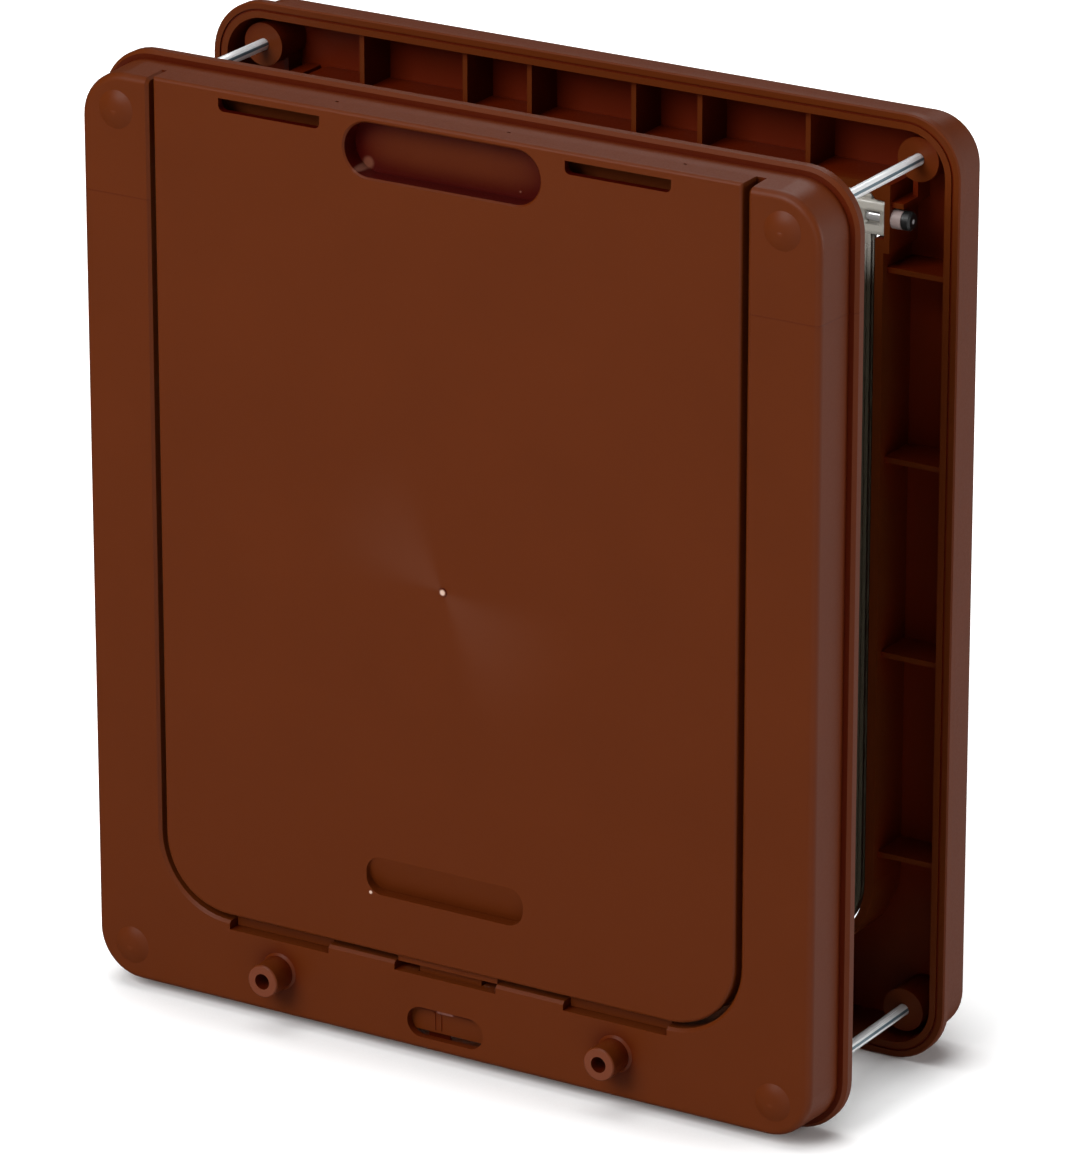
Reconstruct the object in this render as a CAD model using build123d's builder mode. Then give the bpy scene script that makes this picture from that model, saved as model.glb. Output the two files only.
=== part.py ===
"""Dog flap for a solid door: two moulded frames on four long bolts, a lift-out closing panel with a
slide lock, and a clear swinging flap on two side pivots.

Millimetres. +X to the right seen from indoors, +Y from indoors to outdoors, +Z up. The origin is under
the middle of the part, on the surface that it stands on.
"""
import os
from math import asin, degrees

from build123d import *

# Flange and tray of both frames
flange_width = 286.0
flange_height = 329.0
flange_corner = 20.0
flange_thickness = 4.5
flange_step = 3.0
flange_edge = 1.2
flange_foot_edge = 0.5
frame_depth = 22.0
draft = 2.5
wall = 2.5
face_thickness = 2.8
face_edge_round = 2.5
groove_inset = 2.4
groove_width = 0.8
groove_depth = 0.7

# Space that the two flanges leave for the door
door_gap = 62.0

# Bolts and their bosses
bolt_inset_x = 17.5
bolt_inset_z = 16.0
bolt_diameter = 4.0
bolt_clearance = 0.15
bolt_thread_clearance = 0.05
bolt_head_diameter = 8.0
bolt_head_height = 3.0
bolt_head_clearance = 0.4
bolt_tip_cover = 3.0
bolt_tip_gap = 0.8
bolt_drive_width = 1.2
bolt_drive_depth = 1.4
bolt_drive_length = 4.8
boss_diameter = 15.0
boss_setback = 4.0
dome_diameter = 13.2
dome_height = 1.8

# Tunnel through both frames
stile_width = 27.0
top_rail = 25.0
bottom_rail = 30.5
opening_corner = 27.0
opening_top_corner = 4.0
tunnel_wall = 3.0
rear_step = 0.6
opening_edge = 1.0

# Stiffening ribs of the trays: distances from the middle, and below the top of the opening
rib_thickness = 1.8
rib_setback = 3.0
rib_offsets = (20.0, 45.0, 85.5)
rib_drops = (26.5, 91.5, 159.5, 230.5)

# Closing panel
panel_gap = 2.1
panel_depth = 9.0
panel_plate = 2.6
panel_skirt = 2.2
panel_top_proud = 0.2
panel_edge_round = 1.2
rail_clearance = 1.2
panel_lift = 7.4

# Finger recess, slots, thumb scoop, gate mark and top nicks of the panel
recess_width = 74.0
recess_height = 18.5
recess_drop = 11.6
recess_floor = 1.8
recess_edge = 0.6
slot_offset = 65.7
slot_width = 39.0
slot_height = 4.4
slot_drop = 5.2
slot_corner = 2.0
scoop_width = 61.0
scoop_height = 13.5
scoop_rise = 27.4
scoop_depth = 4.2
scoop_corner = 6.0
scoop_backing = 1.8
gate_diameter = 2.8
gate_height = 0.3
gate_drop = 12.4
nick_width = 1.2
nick_depth = 0.6
nick_offsets = (-44.5, 20.5, 85.5)

# Hooks behind the panel's top and the slots that they enter in the set-back rail
hook_width = 34.0
hook_below_top = 21.4
hook_arm = 1.8
hook_drop = 2.0
hook_thickness = 1.9
hook_clearance = 0.4

# Bottom tabs of the panel and the notches that they stand in
notch_width = 39.6
notch_depth = 3.0
notch_reach = 8.0
notch_floor = 1.4
tab_clearance = 0.4
tab_seat = 0.2
tab_front = 4.4
lip_front = 0.8
lip_drop = 2.4

# Lock slider, its window, guides and bolt finger
window_width = 29.7
window_height = 10.8
window_rise = 10.7
slider_height = 10.7
slider_rise = 1.3
slider_thickness = 2.6
slider_gap = 0.5
slider_travel = 7.0
slider_cover = 2.15
ridge_height = 0.35
ridge_width = 0.8
ridge_length = 6.0
ridge_offsets = (-6.0, -3.6)
finger_height = 2.0
finger_gap = 0.6
finger_reach = 2.6
finger_stem = 4.0
finger_clearance = 0.5
leg_width = 24.0
leg_thickness = 2.2
leg_foot = 1.5
leg_notch = 8.0
leg_notch_height = 4.2
leg_clearance = 0.5
guide_width = 8.0
guide_thickness = 1.0
guide_lip = 2.2
guide_clearance = 0.3
guide_offsets = (-6.0, 18.0)

# Hollow pegs on the bottom rail
peg_offset = 65.8
peg_rise = 16.5
peg_diameter = 11.7
peg_bore = 5.6
peg_length = 10.5
peg_root = 0.8
peg_tip = 0.5

# Flap and its hinge lugs
flap_gap = 2.4
flap_top_gap = 1.4
flap_corner = 22.5
flap_web = 2.4
flap_rim = 4.0
flap_rim_width = 2.6
flap_setback = 1.5
hinge_drop = 9.0
lug_width = 13.0
lug_height = 11.8
lug_thickness = 6.0
lug_corner = 1.5
lug_gap = 0.4
lug_window_width = 5.4
lug_window_height = 4.8
lug_window_wall = 1.6

# Hinge pins, bushes and caps, and the box round each lug
pin_diameter = 4.0
pin_press = 0.02
pin_running = 0.05
pin_hold = 11.0
pocket_depth = 3.2
pocket_drop = 6.5
pocket_reach = 14.0
box_wall = 2.0
box_floor = 4.6
bush_diameter = 6.5
bush_stand = 3.6
cap_diameter = 6.4
cap_length = 3.0
cap_end_wall = 0.8
cap_gap = 0.2
cap_edge = 0.7
shelf_width = 4.2
shelf_rise = 4.2
shelf_setback = 1.5

# Magnets in the flap's lower edge and in the sill
magnet_length = 40.0
magnet_width = 4.0
magnet_thickness = 2.2
magnet_clearance = 0.05
magnet_wall = 1.4

# How close two places count as the same when edges are picked
touching = 0.01

# Places worked out from the sizes above
total_depth = peg_length + 2 * frame_depth + door_gap
front_face_y = peg_length - total_depth / 2
rear_flange_y = front_face_y + frame_depth + door_gap
rear_face_y = rear_flange_y + frame_depth
centre_z = flange_height / 2

body_width = flange_width - 2 * flange_step
body_height = flange_height - 2 * flange_step
body_corner = flange_corner - flange_step
body_bottom = flange_step
body_top = flange_height - flange_step
wall_depth = frame_depth - flange_thickness
bolt_pitch_x = flange_width - 2 * bolt_inset_x
bolt_pitch_z = flange_height - 2 * bolt_inset_z

opening_half = body_width / 2 - stile_width
opening_bottom = body_bottom + bottom_rail
opening_top = body_top - top_rail
rear_half = opening_half - rear_step
tunnel_bottom = opening_bottom - tunnel_wall

panel_half = opening_half - panel_gap
panel_bottom = opening_bottom + panel_gap
panel_top = body_top + panel_top_proud
panel_corner = opening_corner - panel_gap
rail_setback = panel_depth + rail_clearance
recess_level = panel_top - recess_drop
slot_level = panel_top - slot_drop
scoop_level = panel_bottom + scoop_rise
gate_level = (panel_bottom + panel_top) / 2 - gate_drop
hook_level = panel_top - hook_below_top
hook_back = rail_setback + wall + hook_clearance + hook_thickness
notch_bottom = opening_bottom - notch_depth
notch_offsets = (-slot_offset, 0, slot_offset)

window_level = body_bottom + window_rise
slider_width = window_width + 2 * (slider_travel + slider_cover)
slider_front = face_thickness + slider_gap
slider_back = slider_front + slider_thickness
slider_bottom = window_level - window_height / 2 + slider_rise
slider_top = slider_bottom + slider_height
finger_top = notch_bottom - notch_floor - finger_gap
finger_bottom = finger_top - finger_height
leg_front = slider_front + slider_gap
leg_notch_top = finger_top + finger_clearance
leg_notch_bottom = leg_notch_top - leg_notch_height
leg_bottom = leg_notch_bottom - leg_foot
peg_level = body_bottom + peg_rise

flap_half = rear_half - flap_gap
flap_bottom = opening_bottom + flap_gap
flap_top = opening_top - flap_top_gap
magnet_bottom = flap_bottom + magnet_wall
hinge_level = opening_top - hinge_drop
hinge_y = rear_flange_y + flap_setback + flap_rim / 2
pocket_half = rear_half + pocket_depth
pocket_bottom = hinge_level - pocket_drop
pocket_top = hinge_level + pocket_drop
lug_end = pocket_half - lug_gap
pin_start = lug_end - pin_hold
box_half = pocket_half + box_wall
box_top = opening_top + tunnel_wall
shelf_end = box_half + shelf_width
shelf_level = hinge_level + shelf_rise
bush_end = box_half + bush_stand
cap_start = bush_end + cap_gap
cap_end = cap_start + cap_length
pin_end = cap_end - cap_end_wall

# Outer face of each frame: its normal points away from the door, and its Y runs up
front_face = Plane(origin=(0, front_face_y, 0), x_dir=(1, 0, 0), z_dir=(0, -1, 0))
rear_face = Plane(origin=(0, rear_face_y, 0), x_dir=(-1, 0, 0), z_dir=(0, 1, 0))
sides = {"left": -1, "right": 1}


def level(face, depth):
    """Plane parallel to a frame's outer face, at a depth below it."""
    return face.offset(-depth)


def outline(half_width, bottom, top, bottom_corner, top_corner=0):
    """Upright outline of the opening and of what follows it, for a sketch on a frame's face."""
    with Locations((0, (bottom + top) / 2)):
        Rectangle(2 * half_width, top - bottom)
    fillet(vertices().group_by(Axis.Y)[0], bottom_corner)
    if top_corner > 0:
        fillet(vertices().group_by(Axis.Y)[-1], top_corner)


def block(face, x_range, z_range, depth_range, mode=Mode.ADD):
    """Plain rib or cut between two depths below a frame's face. The rear face's own X runs backwards."""
    x_middle = face.x_dir.X * (x_range[0] + x_range[1]) / 2
    with BuildSketch(level(face, depth_range[1])) as profile:
        with Locations((x_middle, (z_range[0] + z_range[1]) / 2)):
            Rectangle(x_range[1] - x_range[0], z_range[1] - z_range[0])
    extrude(profile.sketch, amount=depth_range[1] - depth_range[0], mode=mode)


def round_along_x(diameter, x_range, sign, mode=Mode.ADD):
    """Round bar or bore on the hinge axis, on the right (sign 1) or mirrored on the left (sign -1)."""
    with BuildSketch(Plane.YZ.offset(sign * x_range[0])) as profile:
        with Locations((hinge_y, hinge_level)):
            Circle(diameter / 2)
    extrude(profile.sketch, amount=sign * (x_range[1] - x_range[0]), mode=mode)


def at_depth(face, depth):
    """Test for an edge or face that lies at a depth below a frame's outer face."""
    return lambda shape: abs(face.to_local_coords(shape.center()).Z + depth) < touching


def round_edges(diameter):
    """Circular edges of one diameter in the piece being built."""
    circles = edges().filter_by(GeomType.CIRCLE)
    return circles.filter_by(lambda edge: abs(2 * edge.radius - diameter) < touching)


def tray(face):
    """Flange, drafted walls and face plate of one frame, open towards the door."""
    outward = Axis(face.origin, face.z_dir)
    with BuildSketch(level(face, frame_depth)) as profile:
        with Locations((0, centre_z)):
            RectangleRounded(flange_width, flange_height, flange_corner)
    extrude(profile.sketch, amount=flange_thickness)
    chamfer(edges().group_by(outward)[-1], flange_edge)
    chamfer(edges().group_by(outward)[0], flange_foot_edge)
    with BuildSketch(level(face, wall_depth)) as profile:
        with Locations((0, centre_z)):
            RectangleRounded(body_width, body_height, body_corner)
    extrude(profile.sketch, amount=wall_depth, taper=draft)
    fillet(edges().group_by(outward)[-1], face_edge_round)
    with BuildSketch(level(face, frame_depth)) as profile:
        with Locations((0, centre_z)):
            RectangleRounded(body_width - 2 * wall, body_height - 2 * wall, body_corner - wall)
    extrude(profile.sketch, amount=frame_depth - face_thickness, taper=draft, mode=Mode.SUBTRACT)
    groove_end = groove_inset + groove_width
    with BuildSketch(level(face, frame_depth)) as profile:
        with Locations((0, centre_z)):
            RectangleRounded(
                flange_width - 2 * groove_inset,
                flange_height - 2 * groove_inset,
                flange_corner - groove_inset,
            )
            RectangleRounded(
                flange_width - 2 * groove_end,
                flange_height - 2 * groove_end,
                flange_corner - groove_end,
                mode=Mode.SUBTRACT,
            )
    extrude(profile.sketch, amount=groove_depth, mode=Mode.SUBTRACT)


def bolt_circles(diameter):
    """One circle on each bolt axis, for a sketch on a frame's face."""
    with Locations((0, centre_z)):
        with GridLocations(bolt_pitch_x, bolt_pitch_z, 2, 2):
            Circle(diameter / 2)


def bosses(face):
    """Round bolt bosses standing on the face plate in the four corners."""
    with BuildSketch(level(face, frame_depth - boss_setback)) as profile:
        bolt_circles(boss_diameter)
    extrude(profile.sketch, amount=frame_depth - boss_setback - face_thickness / 2)


def ribs(face, half, bottom_offsets):
    """Webs across the channel between the outer wall and the tunnel of a given half width, all round."""
    depths = (face_thickness / 2, frame_depth - rib_setback)
    rib_half = rib_thickness / 2
    tunnel_middle = half + tunnel_wall / 2
    wall_middle = body_width / 2 - wall / 2
    for sign in (-1, 1):
        for x in rib_offsets:
            span = (sign * x - rib_half, sign * x + rib_half)
            block(face, span, (opening_top + tunnel_wall / 2, body_top - wall / 2), depths)
        for x in bottom_offsets:
            span = (sign * x - rib_half, sign * x + rib_half)
            block(face, span, (body_bottom + wall / 2, opening_bottom - tunnel_wall / 2), depths)
    for drop in rib_drops:
        span = (opening_top - drop - rib_half, opening_top - drop + rib_half)
        block(face, (tunnel_middle, wall_middle), span, depths)
        block(face, (-wall_middle, -tunnel_middle), span, depths)


def tunnel(face, half, start):
    """Wall round an opening of a given half width, from a depth below the face to the flange."""
    with BuildSketch(level(face, frame_depth)) as profile:
        outline(
            half + tunnel_wall,
            tunnel_bottom,
            opening_top + tunnel_wall,
            opening_corner + tunnel_wall,
            opening_top_corner + tunnel_wall,
        )
    extrude(profile.sketch, amount=frame_depth - start)


def cut_opening(face, half):
    """The opening that the dog goes through, of a given half width."""
    with BuildSketch(level(face, frame_depth)) as profile:
        outline(half, opening_bottom, opening_top, opening_corner, opening_top_corner)
    extrude(profile.sketch, amount=frame_depth, mode=Mode.SUBTRACT)


def opening_rim(face):
    """Edges where the opening meets the outer face."""
    return (
        edges()
        .filter_by(at_depth(face, 0))
        .filter_by(lambda edge: abs(edge.center().X) < opening_half + touching)
        .filter_by(lambda edge: opening_bottom - touching < edge.center().Z < body_top - wall)
    )


# Front frame: U-shaped face round the closing panel, with the top rail set back behind it
with BuildPart() as front_frame:
    tray(front_face)
    bosses(front_face)
    with BuildSketch(level(front_face, rail_setback + wall)):
        outline(
            opening_half + tunnel_wall,
            tunnel_bottom,
            body_top - wall / 2,
            opening_corner + tunnel_wall,
        )
    extrude(amount=rail_setback + wall - face_thickness / 2)
    tunnel(front_face, opening_half, rail_setback)
    ribs(front_face, opening_half, rib_offsets[1:])
    for notch_x in notch_offsets:
        notch_half = notch_width / 2 + notch_floor
        block(
            front_face,
            (notch_x - notch_half, notch_x + notch_half),
            (notch_bottom - notch_floor, opening_bottom - notch_floor),
            (face_thickness / 2, notch_reach + notch_floor),
        )
    cut_opening(front_face, opening_half)
    panel_place = (opening_top - 2 * opening_top_corner, flange_height)
    block(front_face, (-opening_half, opening_half), panel_place, (0, rail_setback), mode=Mode.SUBTRACT)
    chamfer(opening_rim(front_face), opening_edge)
    # Notches under the panel, and the slot that its centre leg goes through
    for notch_x in notch_offsets:
        block(
            front_face,
            (notch_x - notch_width / 2, notch_x + notch_width / 2),
            (notch_bottom, opening_bottom + opening_edge),
            (-face_thickness, notch_reach),
            mode=Mode.SUBTRACT,
        )
    block(
        front_face,
        (-leg_width / 2 - leg_clearance, leg_width / 2 + leg_clearance),
        (notch_bottom - 2 * notch_floor, notch_bottom + notch_floor),
        (leg_front - leg_clearance, leg_front + leg_thickness + leg_clearance),
        mode=Mode.SUBTRACT,
    )
    # Slots in the set-back rail for the panel's hooks, and room for their tips in the tunnel's wall
    for slot_x in (-slot_offset, slot_offset):
        slot_half = hook_width / 2 + hook_clearance
        block(
            front_face,
            (slot_x - slot_half, slot_x + slot_half),
            (hook_level - hook_clearance, hook_level + hook_arm + panel_lift + hook_clearance),
            (rail_setback - wall, rail_setback + wall),
            mode=Mode.SUBTRACT,
        )
        block(
            front_face,
            (slot_x - slot_half, slot_x + slot_half),
            (hook_level - hook_drop - hook_clearance, hook_level + hook_arm),
            (rail_setback + wall, hook_back + hook_clearance),
            mode=Mode.SUBTRACT,
        )
    # Oval window of the lock, and the guides that carry the slider behind it
    with BuildSketch(front_face):
        with Locations((0, window_level)):
            SlotOverall(window_width, window_height)
    extrude(amount=-face_thickness, mode=Mode.SUBTRACT)
    guide_back = slider_back + guide_clearance
    for guide_x in guide_offsets:
        guide_span = (guide_x - guide_width / 2, guide_x + guide_width / 2)
        guide_foot = slider_top + guide_clearance
        block(
            front_face,
            guide_span,
            (guide_foot, guide_foot + guide_thickness),
            (face_thickness / 2, guide_back + guide_thickness),
        )
        block(
            front_face,
            guide_span,
            (slider_top - guide_lip, guide_foot + guide_thickness),
            (guide_back, guide_back + guide_thickness),
        )
        block(
            front_face,
            guide_span,
            (body_bottom + wall / 2, slider_bottom + guide_lip),
            (guide_back, guide_back + guide_thickness),
        )
    # Hollow pegs
    with BuildSketch(front_face):
        with Locations((-peg_offset, peg_level), (peg_offset, peg_level)):
            Circle(peg_diameter / 2)
    extrude(amount=peg_length)
    chamfer(round_edges(peg_diameter).filter_by(at_depth(front_face, 0)), peg_root)
    chamfer(round_edges(peg_diameter).filter_by(at_depth(front_face, -peg_length)), peg_tip)
    with BuildSketch(front_face.offset(peg_length)):
        with Locations((-peg_offset, peg_level), (peg_offset, peg_level)):
            Circle(peg_bore / 2)
    extrude(amount=-peg_length - face_thickness, mode=Mode.SUBTRACT)
    # Domes over the blind bolt holes
    dome_radius = ((dome_diameter / 2) ** 2 + dome_height**2) / (2 * dome_height)
    with Locations(front_face):
        with Locations((0, centre_z)):
            with GridLocations(bolt_pitch_x, bolt_pitch_z, 2, 2):
                Sphere(
                    dome_radius,
                    arc_size1=degrees(asin(1 - dome_height / dome_radius)),
                    align=(Align.CENTER, Align.CENTER, Align.MIN),
                )
    with BuildSketch(level(front_face, frame_depth - boss_setback)):
        bolt_circles(bolt_diameter + 2 * bolt_thread_clearance)
    extrude(amount=frame_depth - boss_setback - bolt_tip_cover, mode=Mode.SUBTRACT)


# Rear frame: the same tray turned round, with the hinge pockets and pivots of the flap
with BuildPart() as rear_frame:
    tray(rear_face)
    bosses(rear_face)
    tunnel(rear_face, rear_half, face_thickness / 2)
    ribs(rear_face, rear_half, rib_offsets)
    # Box round each lug, the shelf above its bush, and the web from the shelf to the bolt boss
    box_depths = (face_thickness / 2, frame_depth)
    shelf_depths = (face_thickness / 2, frame_depth - shelf_setback)
    web_depths = (face_thickness / 2, frame_depth / 2)
    web_top = centre_z + bolt_pitch_z / 2
    for sign in sides.values():
        box_ends = sorted((sign * rear_half, sign * box_half))
        shelf_ends = sorted((sign * pocket_half, sign * shelf_end))
        web_ends = sorted((sign * (shelf_end - rib_thickness), sign * shelf_end))
        block(rear_face, box_ends, (pocket_bottom - box_floor, box_top), box_depths)
        block(rear_face, shelf_ends, (shelf_level, shelf_level + rib_thickness), shelf_depths)
        block(rear_face, web_ends, (shelf_level, web_top), web_depths)
    cut_opening(rear_face, rear_half)
    chamfer(opening_rim(rear_face), opening_edge)
    for sign in sides.values():
        pocket_ends = sorted((sign * (rear_half - tunnel_wall), sign * pocket_half))
        block(
            rear_face,
            pocket_ends,
            (pocket_bottom, pocket_top),
            (frame_depth - pocket_reach, frame_depth + shelf_setback),
            mode=Mode.SUBTRACT,
        )
        round_along_x(bush_diameter + 2 * pin_press, (rear_half, bush_end), sign, mode=Mode.SUBTRACT)
    # Bolt holes, counterbored for the heads
    with BuildSketch(rear_face):
        bolt_circles(bolt_diameter + 2 * bolt_clearance)
    extrude(amount=-frame_depth, mode=Mode.SUBTRACT)
    with BuildSketch(rear_face):
        bolt_circles(bolt_head_diameter + 2 * bolt_head_clearance)
    extrude(amount=-bolt_head_height - bolt_head_clearance, mode=Mode.SUBTRACT)
    # Pocket of the sill magnet
    block(
        rear_face,
        (-magnet_length / 2 - magnet_clearance, magnet_length / 2 + magnet_clearance),
        (opening_bottom - magnet_thickness, opening_bottom + magnet_thickness),
        (
            rear_face_y - hinge_y - magnet_width / 2 - magnet_clearance,
            rear_face_y - hinge_y + magnet_width / 2 + magnet_clearance,
        ),
        mode=Mode.SUBTRACT,
    )


# Wedge-shaped hollow of the thumb scoop: flush at its top, deepest along its lower edge
scoop_slope = Plane(
    origin=(0, front_face_y, scoop_level + scoop_height / 2),
    x_dir=(1, 0, 0),
    z_dir=(0, scoop_height, scoop_depth),
)
with BuildPart() as scoop:
    with BuildSketch(level(front_face, scoop_depth)):
        with Locations((0, scoop_level)):
            RectangleRounded(scoop_width, scoop_height, scoop_corner)
    extrude(amount=scoop_depth)
    split(bisect_by=scoop_slope, keep=Keep.BOTTOM)

# Closing panel: plate with a skirt, hooked behind the top rail and standing in the bottom notches
with BuildPart() as closing_panel:
    with BuildSketch(level(front_face, panel_depth)):
        outline(panel_half, panel_bottom, panel_top, panel_corner)
    extrude(amount=panel_depth)
    fillet(edges().filter_by(at_depth(front_face, 0)), panel_edge_round)
    with BuildSketch(level(front_face, panel_depth)):
        outline(
            panel_half - panel_skirt,
            panel_bottom + panel_skirt,
            panel_top - panel_skirt,
            panel_corner - panel_skirt,
        )
    extrude(amount=panel_depth - panel_plate, mode=Mode.SUBTRACT)
    # Finger recess
    with BuildSketch(level(front_face, panel_depth)):
        with Locations((0, recess_level)):
            SlotOverall(recess_width + 2 * recess_floor, recess_height + 2 * recess_floor)
    extrude(amount=panel_depth - panel_plate / 2)
    with BuildSketch(front_face):
        with Locations((0, recess_level)):
            SlotOverall(recess_width, recess_height)
    extrude(amount=recess_floor - panel_depth, mode=Mode.SUBTRACT)
    recess_rim = edges().filter_by(at_depth(front_face, 0)).filter_by(
        lambda edge: abs(edge.center().X) < recess_width / 2
        and abs(edge.center().Z - recess_level) < recess_height / 2 + touching
    )
    chamfer(recess_rim, recess_edge)
    # Slots near the top
    with BuildSketch(front_face):
        with Locations((-slot_offset, slot_level), (slot_offset, slot_level)):
            Rectangle(slot_width, slot_height)
        fillet(vertices().group_by(Axis.Y)[0], slot_corner)
    extrude(amount=-panel_plate, mode=Mode.SUBTRACT)
    # Thumb scoop, with the plate made thicker behind it
    with BuildSketch(level(front_face, scoop_depth + scoop_backing)):
        with Locations((0, scoop_level)):
            RectangleRounded(
                scoop_width + 2 * scoop_backing,
                scoop_height + 2 * scoop_backing,
                scoop_corner + scoop_backing,
            )
    extrude(amount=scoop_depth + scoop_backing - panel_plate / 2)
    add(scoop.part, mode=Mode.SUBTRACT)
    # Gate mark of the moulding
    with BuildSketch(front_face):
        with Locations((0, gate_level)):
            Circle(gate_diameter / 2)
    extrude(amount=gate_height)
    # Nicks in the rear of the top edge
    for nick_x in nick_offsets:
        block(
            front_face,
            (nick_x - nick_width / 2, nick_x + nick_width / 2),
            (panel_top - nick_depth, panel_top + nick_depth),
            (panel_depth - nick_width, panel_depth + nick_depth),
            mode=Mode.SUBTRACT,
        )
    # Hooks behind the top slots
    for hook_x in (-slot_offset, slot_offset):
        hook_span = (hook_x - hook_width / 2, hook_x + hook_width / 2)
        block(front_face, hook_span, (hook_level, hook_level + hook_arm), (panel_plate / 2, hook_back))
        hook_levels = (hook_level - hook_drop, hook_level + hook_arm)
        block(front_face, hook_span, hook_levels, (hook_back - hook_thickness, hook_back))
    # Outer tabs, and the centre lip with the leg that the lock holds
    tab_half = notch_width / 2 - tab_clearance
    for tab_x in (-slot_offset, slot_offset):
        block(
            front_face,
            (tab_x - tab_half, tab_x + tab_half),
            (notch_bottom + tab_seat, panel_bottom + panel_skirt / 2),
            (tab_front, notch_reach - tab_clearance),
        )
    block(
        front_face,
        (-tab_half, tab_half),
        (panel_bottom - lip_drop, panel_bottom + panel_skirt / 2),
        (lip_front + panel_edge_round, leg_front + leg_thickness),
    )
    block(
        front_face,
        (-leg_width / 2, leg_width / 2),
        (leg_bottom, panel_bottom),
        (leg_front, leg_front + leg_thickness),
    )
    block(
        front_face,
        (-leg_width / 2, leg_notch - leg_width / 2),
        (leg_notch_bottom, leg_notch_top),
        (leg_front, leg_front + leg_thickness),
        mode=Mode.SUBTRACT,
    )

# Lock slider: pad behind the window, with a finger that enters the notch of the panel's leg
with BuildPart() as lock_slider:
    slider_depths = (slider_front, slider_back)
    slider_half = slider_width / 2
    block(front_face, (-slider_half, slider_half), (slider_bottom, slider_top), slider_depths)
    stem_end = finger_stem - slider_half
    finger_end = -leg_width / 2 - finger_reach
    block(front_face, (-slider_half, stem_end), (slider_top - finger_stem, finger_top), slider_depths)
    block(front_face, (-slider_half, finger_end), (finger_bottom, finger_top), slider_depths)
    for ridge_x in ridge_offsets:
        block(
            front_face,
            (ridge_x - ridge_width / 2, ridge_x + ridge_width / 2),
            (window_level - ridge_length / 2, window_level + ridge_length / 2),
            (slider_front - ridge_height, slider_front + ridge_height),
        )


# Flap: clear sheet with a stiff rim, a lug at each upper corner and a magnet pocket below
with BuildPart() as flap:
    flap_face = Plane(origin=(0, hinge_y - flap_rim / 2, 0), x_dir=(1, 0, 0), z_dir=(0, -1, 0))
    with BuildSketch(level(flap_face, flap_rim)):
        outline(flap_half, flap_bottom, flap_top, flap_corner)
    extrude(amount=flap_rim)
    pane_depth = (flap_rim - flap_web) / 2
    for pane_start in (0, flap_rim - pane_depth):
        with BuildSketch(level(flap_face, pane_start + pane_depth)):
            outline(
                flap_half - flap_rim_width,
                flap_bottom + flap_rim_width,
                flap_top - flap_rim_width,
                flap_corner - flap_rim_width,
            )
        extrude(amount=pane_depth, mode=Mode.SUBTRACT)
    for sign in sides.values():
        with BuildSketch(Plane.YZ.offset(sign * lug_end)):
            with Locations((hinge_y, hinge_level)):
                RectangleRounded(lug_thickness, lug_height, lug_corner)
        extrude(amount=-sign * lug_width)
        round_along_x(pin_diameter + 2 * pin_press, (pin_start, lug_end), sign, mode=Mode.SUBTRACT)
        window_end = lug_end - lug_window_wall
        window_ends = sorted((sign * window_end, sign * (window_end - lug_window_width)))
        block(
            flap_face,
            window_ends,
            (hinge_level - lug_window_height / 2, hinge_level + lug_window_height / 2),
            (-lug_thickness, flap_rim / 2),
            mode=Mode.SUBTRACT,
        )
    holder_half = magnet_length / 2 + magnet_wall
    block(
        flap_face,
        (-holder_half, holder_half),
        (flap_bottom, flap_bottom + magnet_width + 2 * magnet_wall),
        (0, flap_rim),
    )
    block(
        flap_face,
        (-magnet_length / 2 - magnet_clearance, magnet_length / 2 + magnet_clearance),
        (magnet_bottom - magnet_clearance, magnet_bottom + magnet_width + magnet_clearance),
        (flap_rim - magnet_thickness, flap_rim),
        mode=Mode.SUBTRACT,
    )

# Magnets: one flush in the back of the flap's lower edge, one flush in the sill below it
with BuildPart() as flap_magnet:
    block(
        flap_face,
        (-magnet_length / 2, magnet_length / 2),
        (magnet_bottom, magnet_bottom + magnet_width),
        (flap_rim - magnet_thickness, flap_rim),
    )

with BuildPart() as sill_magnet:
    block(
        rear_face,
        (-magnet_length / 2, magnet_length / 2),
        (opening_bottom - magnet_thickness, opening_bottom),
        (rear_face_y - hinge_y - magnet_width / 2, rear_face_y - hinge_y + magnet_width / 2),
    )

# Hinge pins, their bushes in the tunnel walls and the caps that hold them, on both sides
pivots = {}
for side, sign in sides.items():
    outer_end = 0 if sign < 0 else -1
    with BuildPart() as hinge_pin:
        round_along_x(pin_diameter, (pin_start, pin_end), sign)
    with BuildPart() as hinge_bush:
        round_along_x(bush_diameter, (pocket_half, bush_end), sign)
        round_along_x(pin_diameter + 2 * pin_running, (pocket_half, bush_end), sign, mode=Mode.SUBTRACT)
    with BuildPart() as pin_cap:
        round_along_x(cap_diameter, (cap_start, cap_end), sign)
        chamfer(round_edges(cap_diameter).sort_by(Axis.X)[outer_end], cap_edge)
        round_along_x(pin_diameter + 2 * pin_press, (cap_start, pin_end), sign, mode=Mode.SUBTRACT)
    pivots["hinge_pin_" + side] = hinge_pin
    pivots["hinge_bush_" + side] = hinge_bush
    pivots["pin_cap_" + side] = pin_cap

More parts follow.
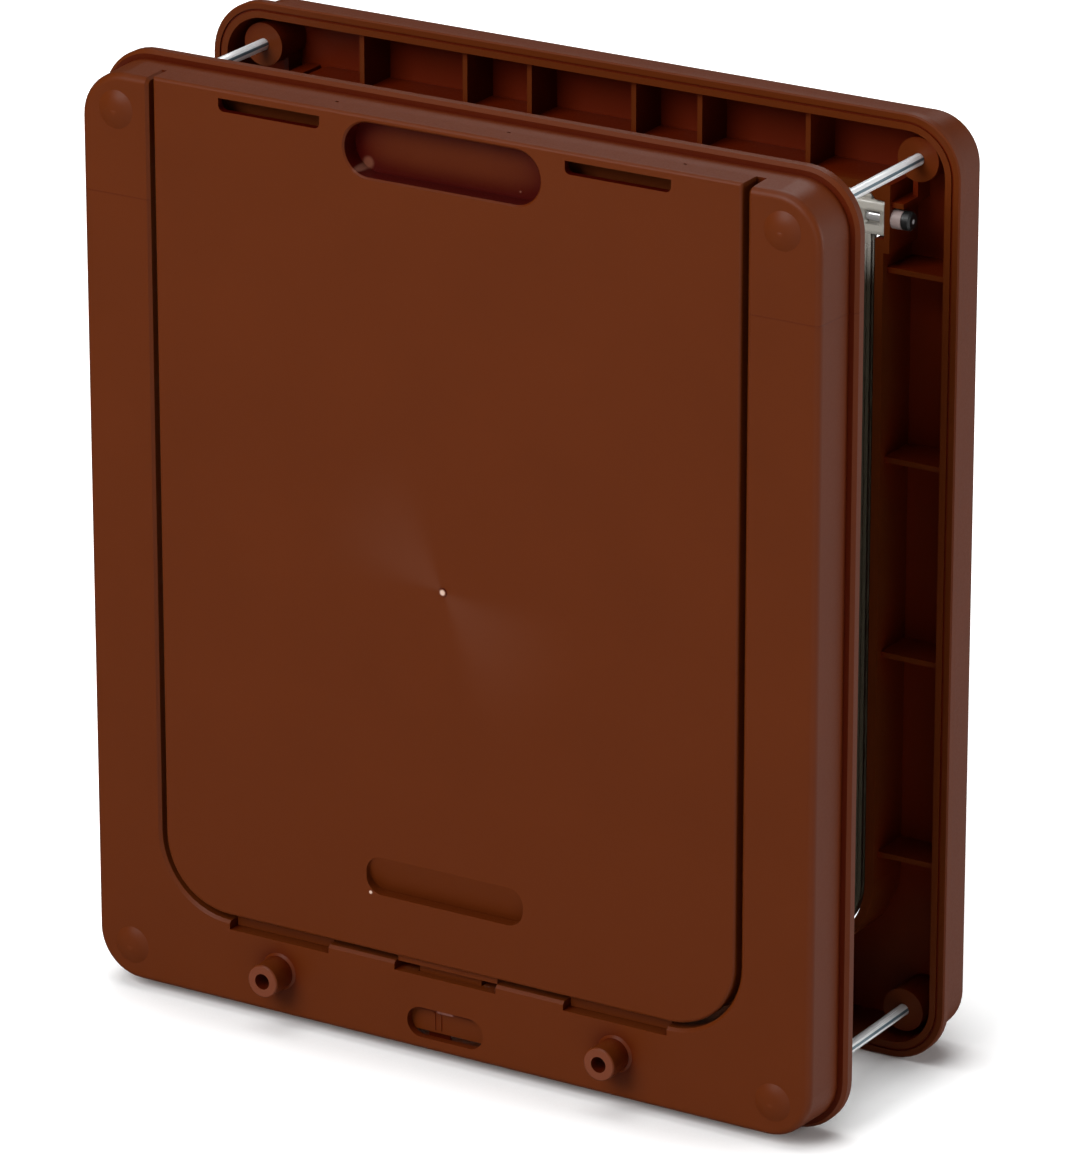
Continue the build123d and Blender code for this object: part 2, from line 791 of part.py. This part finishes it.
# Frame bolts: head in the rear frame's counterbore, tip in the front frame's blind boss
with BuildPart() as frame_bolts:
    head_seat = level(rear_face, bolt_head_height + bolt_head_clearance)
    tip_y = front_face_y + bolt_tip_cover + bolt_tip_gap
    bolt_length = head_seat.origin.Y - tip_y
    with BuildSketch(head_seat):
        bolt_circles(bolt_head_diameter)
    extrude(amount=bolt_head_height)
    with BuildSketch(head_seat):
        bolt_circles(bolt_diameter)
    extrude(amount=-bolt_length)
    with BuildSketch(head_seat.offset(bolt_head_height)):
        with Locations((0, centre_z)):
            with GridLocations(bolt_pitch_x, bolt_pitch_z, 2, 2):
                Rectangle(bolt_drive_length, bolt_drive_width)
                Rectangle(bolt_drive_width, bolt_drive_length)
    extrude(amount=-bolt_drive_depth, mode=Mode.SUBTRACT)

pieces = {
    "front_frame": front_frame,
    "rear_frame": rear_frame,
    "closing_panel": closing_panel,
    "lock_slider": lock_slider,
    "flap": flap,
    "flap_magnet": flap_magnet,
    "sill_magnet": sill_magnet,
    "frame_bolts": frame_bolts,
    **pivots,
}
os.makedirs("parts", exist_ok=True)
for name, piece in pieces.items():
    piece.part.label = name
    export_step(piece.part, f"parts/{name}.step")
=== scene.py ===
"""Studio picture of the dog flap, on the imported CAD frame. Metres, in the frame's own axes."""

import math

import bpy
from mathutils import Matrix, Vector


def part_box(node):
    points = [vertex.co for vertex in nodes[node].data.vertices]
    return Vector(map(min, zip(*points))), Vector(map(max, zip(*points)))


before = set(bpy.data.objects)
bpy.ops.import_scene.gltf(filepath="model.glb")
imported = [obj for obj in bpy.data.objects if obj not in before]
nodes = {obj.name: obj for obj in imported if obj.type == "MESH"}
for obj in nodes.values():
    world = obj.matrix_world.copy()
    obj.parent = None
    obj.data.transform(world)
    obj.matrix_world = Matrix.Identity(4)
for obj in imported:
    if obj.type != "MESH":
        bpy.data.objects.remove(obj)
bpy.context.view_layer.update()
scene = bpy.context.scene

# Corners, levels and sides of the nodes that carry marks
front_low, front_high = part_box("front_frame")
panel_low, panel_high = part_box("closing_panel")
cap_low, cap_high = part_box("pin_cap_right")
cap_middle = (cap_low + cap_high) / 2
slider_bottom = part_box("lock_slider")[0].z
flap_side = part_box("flap")[1].x


def on_panel(across, deep, drop):
    """Place on the panel: across from its middle, deep behind its front, and a drop below its top."""
    return (across, panel_low.y + deep, panel_high.z - drop)


# Camera: fitted to the domes, bosses and rods of the photograph
CAMERA_AZIMUTH = 31.35
CAMERA_ELEVATION = 20.44
CAMERA_DISTANCE = 2.483
CAMERA_TARGET = Vector((0.0371, -0.04775, 0.1778))
CAMERA_LENS = 235.8
CAMERA_SENSOR = 36.0
CAMERA_FAR = 50.0

# White of the background and of the floor's glow
WHITE = (1.0, 1.0, 1.0, 1.0)
# Noise lies mostly between these two values
NOISE_LOW = 0.3
NOISE_HIGH = 0.7
# Share of a spot or a band that has its full colour, before the soft edge
SPOT_CORE = 0.4
BAND_CORE = 0.7
# Rays that test how open a place is
OPENNESS_SAMPLES = 8

# Moulded plastics: mottling and grain, with the scale and detail of their noise
MOTTLE_NOISE = (22.0, 4.0)
MOTTLE = 0.03
GRAIN_NOISE = (1400.0, 2.0)
GRAIN_ROUGHNESS = 0.05
GRAIN_BUMP = (0.06, 0.0002)

# Brown plastic, and its painted shade: deeper, redder tones where the rear frame, front frame and panel are
# less open. The panel's shade tone also darkens the parting line and the top of the slider's pad
BROWN = (0.0880, 0.0162, 0.0020)
TRAY_SHADE_BROWN = (0.0920, 0.0075, 0.0001)
GAP_SHADE_BROWN = (0.0600, 0.0050, 0.0001)
SHADE_AND_SEAM_BROWN = (0.0400, 0.0008, 0.0)
BROWN_ROUGHNESS = 0.40
BROWN_GLOSS = 0.11
# How far a hollow is felt, how open a place is where the painted shade is deepest, and where it is plain
# brown
HOLLOW_REACH = 0.022
HOLLOW_CLOSED = 0.55
HOLLOW_FREE = 0.92
PANEL_FREE = 0.98

# Faint parting line of the front frame: its level, half its width, its ridge and its shade
WITNESS_LEVEL = front_high.z - 0.0452
WITNESS_HALF = 0.00045
WITNESS_BUMP = (0.5, 0.0001)
WITNESS_SHADE = 0.3
# Paler end faces of the pegs, which stand furthest forward
PEG_END = front_low.y + 0.00025
PEG_FADE = 0.0002
PEG_PALE = (0.1300, 0.0340, 0.0150)

# Gate mark of the panel, and the two fans of flow lines that leave it, laid in as a painted sheen
GATE_PLACE = on_panel(0.0, 0.00005, 0.1577)
GATE_RADIUS = 0.0013
FLOW_AXIS = (-0.80, 0.0, 0.60)
FLOW_REACH = 0.058
FLOW_START = 0.50
FLOW_SHEEN_STRENGTH = 0.017
# Colours of the painted highlights, and how a spot is drawn out: below one along an axis makes it longer
HIGHLIGHT_PALE = (0.55, 0.38, 0.30)
GLINT = (0.150, 0.055, 0.036)
FAINT_GLINT = (0.118, 0.036, 0.020)
ROUND = (1.0, 1.0, 1.0)
DEEP = (1.0, 0.28, 1.0)
# Painted highlights of the panel, on its gate mark, in the finger recess and near the scoop: place, radius,
# colour, form
PAINTED_HIGHLIGHTS = (
    (GATE_PLACE, GATE_RADIUS, HIGHLIGHT_PALE, ROUND),
    (on_panel(-0.0328, 0.00505, 0.0191), 0.0018, GLINT, DEEP),
    (on_panel(-0.0320, 0.00735, 0.0181), 0.0027, FAINT_GLINT, ROUND),
    (on_panel(0.0254, 0.00745, 0.0187), 0.0005, GLINT, ROUND),
    (on_panel(-0.0289, 0.00035, 0.2698), 0.0008, HIGHLIGHT_PALE, ROUND),
)
# The thumb scoop is shallow, so below this level most of the painted shade of hollows is taken back to plain
# brown
SCOOP_TOP = panel_low.z + 0.0667
SCOOP_SOFT = 0.01
SCOOP_FADE = 0.85

# Lock slider: the levels between which a painted shade darkens the top of its pad, and a painted highlight
# strip there
SLIDER_SHADE = (slider_bottom + 0.0072, slider_bottom + 0.0078)
STRIP_ENDS = (-0.0056, 0.0016)
STRIP_LEVELS = (slider_bottom + 0.0070, slider_bottom + 0.0084)
STRIP_HIGHLIGHT = (0.210, 0.085, 0.068)

# Pin caps and their painted highlight, bushes, and magnets
CAP_BLACK = (0.010, 0.010, 0.010)
CAP_ROUGHNESS = 0.45
CAP_HIGHLIGHT = 0.0011
NYLON = (0.31, 0.235, 0.22)
NYLON_ROUGHNESS = 0.5
MAGNET_GREY = (0.045, 0.045, 0.05)
MAGNET_ROUGHNESS = 0.6

# Clear flap: the pane's haze, painted shade along its side edges, and painted light on the lugs above a level
PANE = ((0.66, 0.67, 0.62), (0.70, 0.71, 0.66))
HAZE_NOISE = (60.0, 3.0)
PANE_ROUGHNESS = (0.10, 0.18)
PANE_BUMP = (0.012, 0.0003)
PANE_IOR = 1.49
PANE_CLEAR = 0.94
RIM_SHADE = (0.022, 0.019, 0.013)
RIM_START = flap_side - 0.0137
RIM_END = flap_side - 0.0112
LUG_LIGHT = (0.56, 0.53, 0.47)
LUG_START = cap_middle.z - 0.024
LUG_END = cap_middle.z
LUG_CLEAR = 0.50

# Metals: lines drawn along one axis, where a stretch below one makes them longer
DRAWN_NOISE = (900.0, 3.0)
DRAWN_DARK = 0.85
DRAWN_ROUGHNESS = 0.06
DRAWN_BUMP = (0.05, 0.0001)
# Zinc plating, and a painted reflection: the bluish streak along the right side of the bolts
ZINC = (0.92, 0.93, 0.94)
ZINC_ROUGHNESS = 0.26
ZINC_LINES = (1.0, 0.03, 1.0)
ZINC_MIRROR = 0.25
STREAK_REFLECTION = (0.10, 0.15, 0.18)
STREAK_SIDE = (0.961, 0.0, 0.276)
STREAK_START = 0.958
STREAK_FULL = 0.979
# Steel of the hinge pins
PIN_STEEL = (0.74, 0.74, 0.74)
PIN_ROUGHNESS = 0.2
PIN_LINES = (0.05, 1.0, 1.0)
PIN_MIRROR = 0.5

# Lights: name, place, aim, size, watts
LIGHTS = (
    ("key", (-0.55, -2.10, 1.75), (0.0, 0.0, 0.17), 1.7, 76.0),
    ("fill", (0.90, -2.20, 0.45), (0.0, 0.0, 0.10), 1.4, 8.0),
    ("rim", (1.90, 0.70, 0.45), (0.0, 0.0, 0.15), 1.2, 21.0),
    ("top", (-0.20, -0.20, 2.20), (0.0, 0.0, 0.0), 1.6, 18.0),
    ("back", (-0.60, 1.70, 2.00), (0.0, 0.0, 0.15), 1.2, 16.0),
)
# Studio as the part mirrors it: dark, and pale on the right, where a direction's X is past the edge
STUDIO_DARK = 0.03
STUDIO_PALE = 1.0
STUDIO_EDGE = 0.5
# A ray whose count of mirrorings is below this has had none
ANY_MIRRORING = 0.5
# The floor glows to the camera, less close to the part, as a painted contact shadow, and more far from it,
# where the lights fade
FLOOR_PALE = (0.94, 0.94, 0.94, 1.0)
FLOOR_ROUGHNESS = 0.7
FLOOR_GLOW = 0.64
FAR_GLOW = 0.45
FAR_START = 0.5
FAR_END = 1.8
CONTACT_REACH = 0.066
CONTACT_CLOSED = 0.5
FLOOR_HALF = 6.0
FLOOR_DROP = 0.0002


def new_material(name):
    """Material with a node tree."""
    made = bpy.data.materials.new(name)
    made.use_nodes = True
    return made


def parts_of(material):
    """Node tree of a material, and its main shader."""
    return material.node_tree, material.node_tree.nodes["Principled BSDF"]


def place(tree):
    """Place of the shaded point in the frame's own metres."""
    return tree.nodes.new("ShaderNodeTexCoord").outputs["Object"]


def coordinate(tree, axis):
    """One coordinate of the shaded point."""
    made = tree.nodes.new("ShaderNodeSeparateXYZ")
    tree.links.new(place(tree), made.inputs["Vector"])
    return made.outputs[axis]


def noise(tree, scale, detail, stretch=ROUND):
    """Noise in the frame's own metres, drawn out along an axis by a stretch below one."""
    mapping = tree.nodes.new("ShaderNodeMapping")
    mapping.inputs["Scale"].default_value = stretch
    made = tree.nodes.new("ShaderNodeTexNoise")
    made.inputs["Scale"].default_value = scale
    made.inputs["Detail"].default_value = detail
    tree.links.new(place(tree), mapping.inputs["Vector"])
    tree.links.new(mapping.outputs["Vector"], made.inputs["Vector"])
    return made.outputs["Fac"]


def openness(tree, reach, own=True):
    """How open a place is within a reach, past its own piece or past all: 0 in a corner, 1 on a free face."""
    made = tree.nodes.new("ShaderNodeAmbientOcclusion")
    made.samples = OPENNESS_SAMPLES
    made.only_local = own
    made.inputs["Distance"].default_value = reach
    return made.outputs["AO"]


def vector(tree, operation, first, second=None):
    """Vector operation on a place or a direction, with a fixed vector where it needs a second one."""
    made = tree.nodes.new("ShaderNodeVectorMath")
    made.operation = operation
    tree.links.new(first, made.inputs[0])
    if second:
        made.inputs[1].default_value = second
    return made


def arithmetic(tree, operation, first, second=None):
    """One operation on a value, or on two. The second may be a number."""
    made = tree.nodes.new("ShaderNodeMath")
    made.operation = operation
    tree.links.new(first, made.inputs[0])
    if isinstance(second, float):
        made.inputs[1].default_value = second
    elif second:
        tree.links.new(second, made.inputs[1])
    return made.outputs["Value"]


def ramp(tree, value, start, end, low=0.0, high=1.0, kind="SMOOTHSTEP"):
    """A value between two limits laid out from low to high, smoothly or in a straight line."""
    made = tree.nodes.new("ShaderNodeMapRange")
    made.interpolation_type = kind
    made.inputs["From Min"].default_value = start
    made.inputs["From Max"].default_value = end
    made.inputs["To Min"].default_value = low
    made.inputs["To Max"].default_value = high
    tree.links.new(value, made.inputs["Value"])
    return made.outputs["Result"]


def spread(tree, value, low=0.0, high=1.0):
    """A noise value laid out between two limits."""
    return ramp(tree, value, NOISE_LOW, NOISE_HIGH, low, high, "LINEAR")


def away_from(tree, value, level):
    """How far a value is from a level, on either side of it."""
    return arithmetic(tree, "ABSOLUTE", arithmetic(tree, "SUBTRACT", value, level))


def band(tree, value, start, end):
    """One between two limits of a value and nought outside them, with soft edges."""
    half = (end - start) / 2
    away = away_from(tree, value, (start + end) / 2)
    return ramp(tree, away, BAND_CORE * half, half, 1.0, 0.0)


def two_tone(tree, value, dark, light):
    """Colour between two tones by a value."""
    made = tree.nodes.new("ShaderNodeMix")
    made.data_type = "RGBA"
    made.inputs["A"].default_value = (*dark, 1.0)
    made.inputs["B"].default_value = (*light, 1.0)
    tree.links.new(value, made.inputs["Factor"])
    return made.outputs["Result"]


def bump(tree, height, strength, distance, normal=None):
    """Normal bumped by a height, on top of another normal where one is given."""
    made = tree.nodes.new("ShaderNodeBump")
    made.inputs["Strength"].default_value = strength
    made.inputs["Distance"].default_value = distance
    tree.links.new(height, made.inputs["Height"])
    if normal:
        tree.links.new(normal, made.inputs["Normal"])
    return made.outputs["Normal"]


def tint(tree, shader, factor, colour):
    """Lays a colour over the shader's present one by a factor."""
    made = tree.nodes.new("ShaderNodeMix")
    made.data_type = "RGBA"
    made.inputs["B"].default_value = (*colour, 1.0)
    before = shader.inputs["Base Color"].links[0].from_socket
    tree.links.new(before, made.inputs["A"])
    tree.links.new(factor, made.inputs["Factor"])
    tree.links.new(made.outputs["Result"], shader.inputs["Base Color"])


def painted_highlight(tree, shader, centre, radius, colour, form):
    """Lays a painted highlight over the shader's colour, round or drawn out along an axis."""
    offset = vector(tree, "SUBTRACT", place(tree), centre).outputs["Vector"]
    drawn = vector(tree, "MULTIPLY", offset, form).outputs["Vector"]
    away = vector(tree, "LENGTH", drawn).outputs["Value"]
    tint(tree, shader, ramp(tree, away, SPOT_CORE * radius, radius, 1.0, 0.0), colour)


def moulded(name, colour, roughness):
    """Satin moulded plastic with a fine grain and faint mottling."""
    made = new_material(name)
    tree, shader = parts_of(made)
    dark = tuple((1.0 - MOTTLE) * c for c in colour)
    light = tuple((1.0 + MOTTLE) * c for c in colour)
    cloud = spread(tree, noise(tree, *MOTTLE_NOISE))
    tree.links.new(two_tone(tree, cloud, dark, light), shader.inputs["Base Color"])
    grain = noise(tree, *GRAIN_NOISE)
    rough = spread(tree, grain, roughness - GRAIN_ROUGHNESS, roughness + GRAIN_ROUGHNESS)
    tree.links.new(rough, shader.inputs["Roughness"])
    tree.links.new(bump(tree, grain, *GRAIN_BUMP), shader.inputs["Normal"])
    return made


def brown_plastic(name, deep, free=HOLLOW_FREE):
    """Brown moulded plastic with painted shade: a deeper tone where it is less open than a free place."""
    made = moulded(name, BROWN, BROWN_ROUGHNESS)
    tree, shader = parts_of(made)
    # Painted shade: the colour deepens where the piece is less open
    hollow = ramp(tree, openness(tree, HOLLOW_REACH), HOLLOW_CLOSED, free, 1.0, 0.0)
    tint(tree, shader, hollow, deep)
    shader.inputs["Specular IOR Level"].default_value = BROWN_GLOSS
    return made


def front_plastic(name):
    """Brown plastic with the faint parting line round the front frame, and paler peg ends."""
    made = brown_plastic(name, GAP_SHADE_BROWN)
    tree, shader = parts_of(made)
    away = away_from(tree, coordinate(tree, "Z"), WITNESS_LEVEL)
    ridge = ramp(tree, away, 0.0, WITNESS_HALF, 1.0, 0.0)
    before = shader.inputs["Normal"].links[0].from_socket
    tree.links.new(bump(tree, ridge, *WITNESS_BUMP, before), shader.inputs["Normal"])
    tint(tree, shader, arithmetic(tree, "MULTIPLY", ridge, WITNESS_SHADE), SHADE_AND_SEAM_BROWN)
    pale_ends = ramp(tree, coordinate(tree, "Y"), PEG_END - PEG_FADE, PEG_END, 1.0, 0.0)
    tint(tree, shader, pale_ends, PEG_PALE)
    return made


def panel_plastic(name):
    """Brown plastic with painted highlights, and faint flow lines on both sides of the gate mark, laid in as
    a painted sheen.
    """
    made = brown_plastic(name, SHADE_AND_SEAM_BROWN, PANEL_FREE)
    tree, shader = parts_of(made)
    # Below the scoop's top, plain brown is laid back over most of the painted shade
    low = ramp(tree, coordinate(tree, "Z"), SCOOP_TOP, SCOOP_TOP + SCOOP_SOFT, SCOOP_FADE, 0.0)
    tint(tree, shader, low, BROWN)
    away = vector(tree, "SUBTRACT", place(tree), GATE_PLACE).outputs["Vector"]
    distance = vector(tree, "LENGTH", away).outputs["Value"]
    heading = vector(tree, "NORMALIZE", away).outputs["Vector"]
    along = vector(tree, "DOT_PRODUCT", heading, FLOW_AXIS).outputs["Value"]
    fans = ramp(tree, arithmetic(tree, "POWER", along, 2.0), FLOW_START, 1.0)
    fade = ramp(tree, distance, GATE_RADIUS, FLOW_REACH, 1.0, 0.0)
    flow = arithmetic(tree, "MULTIPLY", fans, fade)
    # Painted sheen: the moulding's flow marks are laid in as a lighter colour
    tint(tree, shader, arithmetic(tree, "MULTIPLY", flow, FLOW_SHEEN_STRENGTH), HIGHLIGHT_PALE)
    # Painted highlights: glints on the gate mark, in the finger recess and at the scoop's rim
    for spot in PAINTED_HIGHLIGHTS:
        painted_highlight(tree, shader, *spot)
    return made


def slider_plastic(name):
    """Brown plastic of the lock slider, with painted shade along the top of its pad and a painted highlight
    strip there.
    """
    made = brown_plastic(name, TRAY_SHADE_BROWN)
    tree, shader = parts_of(made)
    level = coordinate(tree, "Z")
    # Painted shade under the window's top edge
    tint(tree, shader, ramp(tree, level, *SLIDER_SHADE), SHADE_AND_SEAM_BROWN)
    # Painted highlight strip along the top of the pad
    across = band(tree, coordinate(tree, "X"), *STRIP_ENDS)
    strip = arithmetic(tree, "MULTIPLY", across, band(tree, level, *STRIP_LEVELS))
    tint(tree, shader, strip, STRIP_HIGHLIGHT)
    return made


def cap_plastic(name):
    """Black plastic of the pin caps, with a painted highlight in the middle of each outer end."""
    made = moulded(name, CAP_BLACK, CAP_ROUGHNESS)
    tree, shader = parts_of(made)
    # Painted highlight at the middle of each cap's outer end
    for side in (-1, 1):
        end = (side * cap_high.x, cap_middle.y, cap_middle.z)
        painted_highlight(tree, shader, end, CAP_HIGHLIGHT, ZINC, ROUND)
    return made


def clear_plastic(name):
    """Clear sheet with a faint grey-green haze, painted shade along its side edges and painted light at the
    lugs.
    """
    made = new_material(name)
    tree, shader = parts_of(made)
    haze = noise(tree, *HAZE_NOISE)
    tree.links.new(two_tone(tree, spread(tree, haze), *PANE), shader.inputs["Base Color"])
    side = ramp(tree, arithmetic(tree, "ABSOLUTE", coordinate(tree, "X")), RIM_START, RIM_END)
    # Painted shade along the side edges
    tint(tree, shader, side, RIM_SHADE)
    raised = ramp(tree, coordinate(tree, "Z"), LUG_START, LUG_END)
    lug = arithmetic(tree, "MULTIPLY", side, raised)
    # Painted light on the lugs near the hinge
    tint(tree, shader, lug, LUG_LIGHT)
    tree.links.new(ramp(tree, lug, 0.0, 1.0, PANE_CLEAR, LUG_CLEAR), shader.inputs["Transmission Weight"])
    tree.links.new(spread(tree, haze, *PANE_ROUGHNESS), shader.inputs["Roughness"])
    shader.inputs["IOR"].default_value = PANE_IOR
    tree.links.new(bump(tree, haze, *PANE_BUMP), shader.inputs["Normal"])
    return made


def metal(name, colour, roughness, stretch, mirror):
    """Bright metal with fine drawn lines along one axis. The mirror value says how little it scatters."""
    made = new_material(name)
    tree, shader = parts_of(made)
    lines = noise(tree, *DRAWN_NOISE, stretch)
    dark = tuple(DRAWN_DARK * c for c in colour)
    tree.links.new(two_tone(tree, spread(tree, lines), dark, colour), shader.inputs["Base Color"])
    rough = spread(tree, lines, roughness - DRAWN_ROUGHNESS, roughness + DRAWN_ROUGHNESS)
    tree.links.new(rough, shader.inputs["Roughness"])
    shader.inputs["Metallic"].default_value = mirror
    tree.links.new(bump(tree, lines, *DRAWN_BUMP), shader.inputs["Normal"])
    return made


def plated(name):
    """Zinc plating of the bolts, with a painted reflection as a bluish streak along their right side."""
    made = metal(name, ZINC, ZINC_ROUGHNESS, ZINC_LINES, ZINC_MIRROR)
    tree, shader = parts_of(made)
    normal = tree.nodes.new("ShaderNodeNewGeometry").outputs["Normal"]
    facing = vector(tree, "DOT_PRODUCT", normal, STREAK_SIDE).outputs["Value"]
    # Painted reflection: a bluish streak where the normal faces right
    tint(tree, shader, ramp(tree, facing, STREAK_START, STREAK_FULL), STREAK_REFLECTION)
    return made


def dress(material, *names):
    """Gives CAD nodes a material."""
    for name in names:
        for slot in nodes[name].material_slots:
            slot.material = material


dress(brown_plastic("brown_plastic", TRAY_SHADE_BROWN), "rear_frame")
dress(front_plastic("front_plastic"), "front_frame")
dress(panel_plastic("panel_plastic"), "closing_panel")
dress(slider_plastic("slider_plastic"), "lock_slider")
dress(plated("plated_steel"), "frame_bolts")
pin_steel = metal("pin_steel", PIN_STEEL, PIN_ROUGHNESS, PIN_LINES, PIN_MIRROR)
dress(pin_steel, "hinge_pin_left", "hinge_pin_right")
dress(moulded("pale_nylon", NYLON, NYLON_ROUGHNESS), "hinge_bush_left", "hinge_bush_right")
dress(cap_plastic("black_plastic"), "pin_cap_left", "pin_cap_right")
dress(moulded("magnet", MAGNET_GREY, MAGNET_ROUGHNESS), "flap_magnet", "sill_magnet")
dress(clear_plastic("clear_plastic"), "flap")


def straight_ray(tree, path):
    """One for a ray that comes straight from the camera or through the flap, nought for others."""
    return arithmetic(tree, "MAXIMUM", path.outputs["Is Camera Ray"], path.outputs["Is Transmission Ray"])


def floor_paint(name):
    """Pale matt paint that glows to straight rays, less near the part as a painted contact shadow. Mirrored
    rays pass it, so shiny pieces show the studio.
    """
    made = new_material(name)
    tree, shader = parts_of(made)
    shader.inputs["Base Color"].default_value = FLOOR_PALE
    shader.inputs["Roughness"].default_value = FLOOR_ROUGHNESS
    shader.inputs["Specular IOR Level"].default_value = 0.0
    shader.inputs["Emission Color"].default_value = WHITE
    path = tree.nodes.new("ShaderNodeLightPath")
    # Painted contact shadow: the glow fades where the part closes the floor in
    free = ramp(tree, openness(tree, CONTACT_REACH, own=False), CONTACT_CLOSED, 1.0)
    near = arithmetic(tree, "MULTIPLY", free, FLOOR_GLOW)
    distance = vector(tree, "LENGTH", place(tree)).outputs["Value"]
    glow = arithmetic(tree, "ADD", near, ramp(tree, distance, FAR_START, FAR_END, 0.0, FAR_GLOW))
    seen = arithmetic(tree, "MULTIPLY", straight_ray(tree, path), glow)
    tree.links.new(seen, shader.inputs["Emission Strength"])
    clear_way = tree.nodes.new("ShaderNodeBsdfTransparent")
    either = tree.nodes.new("ShaderNodeMixShader")
    tree.links.new(path.outputs["Is Glossy Ray"], either.inputs["Fac"])
    tree.links.new(shader.outputs["BSDF"], either.inputs[1])
    tree.links.new(clear_way.outputs["BSDF"], either.inputs[2])
    tree.links.new(either.outputs["Shader"], tree.nodes["Material Output"].inputs["Surface"])
    return made


def add_floor():
    """Wide pale floor that the part stands on."""
    mesh = bpy.data.meshes.new("floor")
    sides = ((-1, -1), (1, -1), (1, 1), (-1, 1))
    corners = [(x * FLOOR_HALF, y * FLOOR_HALF, -FLOOR_DROP) for x, y in sides]
    mesh.from_pydata(corners, [], [(0, 1, 2, 3)])
    mesh.materials.append(floor_paint("floor"))
    floor = bpy.data.objects.new("floor", mesh)
    scene.collection.objects.link(floor)


def add_world():
    """White to the camera and through the flap. Shiny surfaces mirror a studio that is pale on the right."""
    world = bpy.data.worlds.new("studio")
    scene.world = world
    world.use_nodes = True
    tree = world.node_tree
    back = tree.nodes["Background"]
    path = tree.nodes.new("ShaderNodeLightPath")
    heading = tree.nodes.new("ShaderNodeSeparateXYZ")
    tree.links.new(tree.nodes.new("ShaderNodeTexCoord").outputs["Generated"], heading.inputs["Vector"])
    right = ramp(tree, heading.outputs["X"], 0.0, STUDIO_EDGE, STUDIO_DARK, STUDIO_PALE)
    mirrored = arithmetic(tree, "MULTIPLY", right, path.outputs["Is Glossy Ray"])
    unmirrored = arithmetic(tree, "LESS_THAN", path.outputs["Glossy Depth"], ANY_MIRRORING)
    direct = arithmetic(tree, "MULTIPLY", straight_ray(tree, path), unmirrored)
    seen = arithmetic(tree, "MAXIMUM", mirrored, direct)
    back.inputs["Color"].default_value = WHITE
    tree.links.new(arithmetic(tree, "MAXIMUM", seen, STUDIO_DARK), back.inputs["Strength"])


def add_light(name, position, aim, size, watts):
    """Square soft light aimed at a point."""
    data = bpy.data.lights.new(name, "AREA")
    data.shape = "SQUARE"
    data.size = size
    data.energy = watts
    lamp = bpy.data.objects.new(name, data)
    lamp.location = position
    lamp.rotation_euler = (Vector(aim) - Vector(position)).to_track_quat("-Z", "Y").to_euler()
    scene.collection.objects.link(lamp)


def add_camera():
    """Camera at the photograph's viewing angle."""
    azimuth = math.radians(CAMERA_AZIMUTH)
    elevation = math.radians(CAMERA_ELEVATION)
    back = Vector((
        math.sin(azimuth) * math.cos(elevation),
        -math.cos(azimuth) * math.cos(elevation),
        math.sin(elevation),
    ))
    data = bpy.data.cameras.new("camera")
    data.lens = CAMERA_LENS
    data.sensor_width = CAMERA_SENSOR
    data.sensor_fit = "AUTO"
    data.clip_end = CAMERA_FAR
    camera = bpy.data.objects.new("camera", data)
    camera.location = CAMERA_TARGET + CAMERA_DISTANCE * back
    camera.rotation_euler = (-back).to_track_quat("-Z", "Y").to_euler()
    scene.collection.objects.link(camera)
    scene.camera = camera


add_floor()
add_world()
for light in LIGHTS:
    add_light(*light)
add_camera()
scene.view_settings.view_transform = "Standard"
